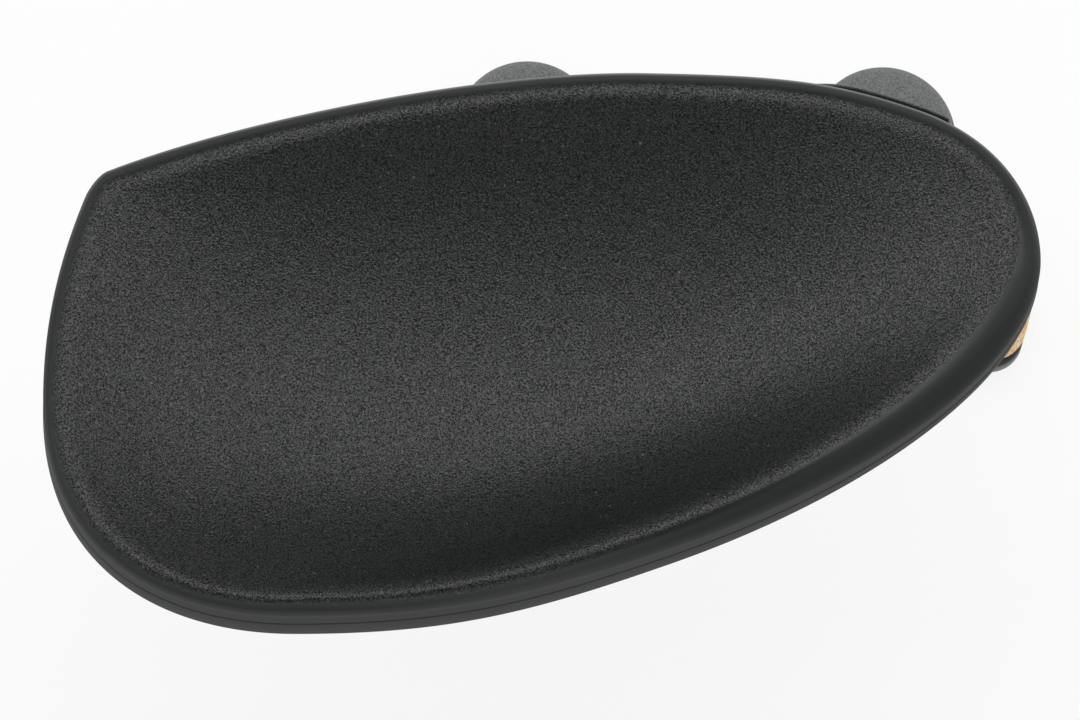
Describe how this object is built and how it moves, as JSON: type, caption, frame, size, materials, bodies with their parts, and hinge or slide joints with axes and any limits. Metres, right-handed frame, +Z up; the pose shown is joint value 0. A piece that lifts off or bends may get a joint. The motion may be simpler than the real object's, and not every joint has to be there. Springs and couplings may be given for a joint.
{
  "type": "violin chinrest",
  "caption": "Side-mounted violin chinrest: a dished chin cup on a post clamp, with cork-lined jaws that screws draw up under cork-lined tilting feet.",
  "frame": {"origin": "middle of the whole part's box, at the height of the table it stands on", "axes": "+X along the cup to its narrow end, +Y to the player's side, where the posts are, +Z up, square to the violin's top"},
  "size_m": [0.1162, 0.0692, 0.0789],
  "materials": {
    "cup_plastic": "satin",
    "bracket_plastic": "matte",
    "jaw_plastic": "satin",
    "cork": "matte",
    "steel": "satin",
    "brass": "satin"
  },
  "bodies": {
    "cup": {"chin_plate": "cup_plastic", "under_shell": "cup_plastic", "clamp_bracket": "bracket_plastic", "bracket_screw_1": "steel", "bracket_screw_2": "steel", "bracket_screw_3": "steel", "bracket_screw_4": "steel", "shell_screw_1": "steel", "shell_screw_2": "steel", "shell_screw_3": "steel", "shell_screw_4": "steel", "thread_insert_left": "brass", "thread_insert_right": "brass", "foot_ball_stud_left": "steel", "foot_ball_stud_right": "steel"},
    "left_jaw": {"lower_jaw_left": "jaw_plastic", "jaw_cork_left": "cork", "screw_washer_left": "steel"},
    "left_screw": {"clamp_screw_left": "steel", "screw_retainer_left": "steel"},
    "left_foot": {"upper_foot_left": "jaw_plastic", "foot_cork_left": "cork"},
    "right_jaw": {"lower_jaw_right": "jaw_plastic", "jaw_cork_right": "cork", "screw_washer_right": "steel"},
    "right_screw": {"clamp_screw_right": "steel", "screw_retainer_right": "steel"},
    "right_foot": {"upper_foot_right": "jaw_plastic", "foot_cork_right": "cork"}
  },
  "joints": [
    {"name": "left_jaw_slide", "type": "slide", "parent": "cup", "child": "left_jaw", "axis": [0, 0, 1], "range_m": [-0.005, 0.005]},
    {"name": "left_screw_turn", "type": "hinge", "parent": "left_jaw", "child": "left_screw", "pos_m": [-0.00321, 0.02605, 0.0029], "axis": [0, 0, 1], "range_deg": [-2251, 2251]},
    {"name": "left_foot_tilt", "type": "hinge", "parent": "cup", "child": "left_foot", "pos_m": [-0.00421, 0.01035, 0.0509], "axis": [1, 0, 0], "range_deg": [-6, 6]},
    {"name": "right_jaw_slide", "type": "slide", "parent": "cup", "child": "right_jaw", "axis": [0, 0, 1], "range_m": [-0.005, 0.005]},
    {"name": "right_screw_turn", "type": "hinge", "parent": "right_jaw", "child": "right_screw", "pos_m": [0.03779, 0.02535, 0.0029], "axis": [0, 0, 1], "range_deg": [-2251, 2251]},
    {"name": "right_foot_tilt", "type": "hinge", "parent": "cup", "child": "right_foot", "pos_m": [0.03879, 0.00965, 0.0509], "axis": [1, 0, 0], "range_deg": [-6, 6]}
  ],
  "couplings": [
    {"joint": "left_screw_turn", "follows": "left_jaw_slide", "rad_per_m": 7854},
    {"joint": "right_screw_turn", "follows": "right_jaw_slide", "rad_per_m": 7854}
  ]
}
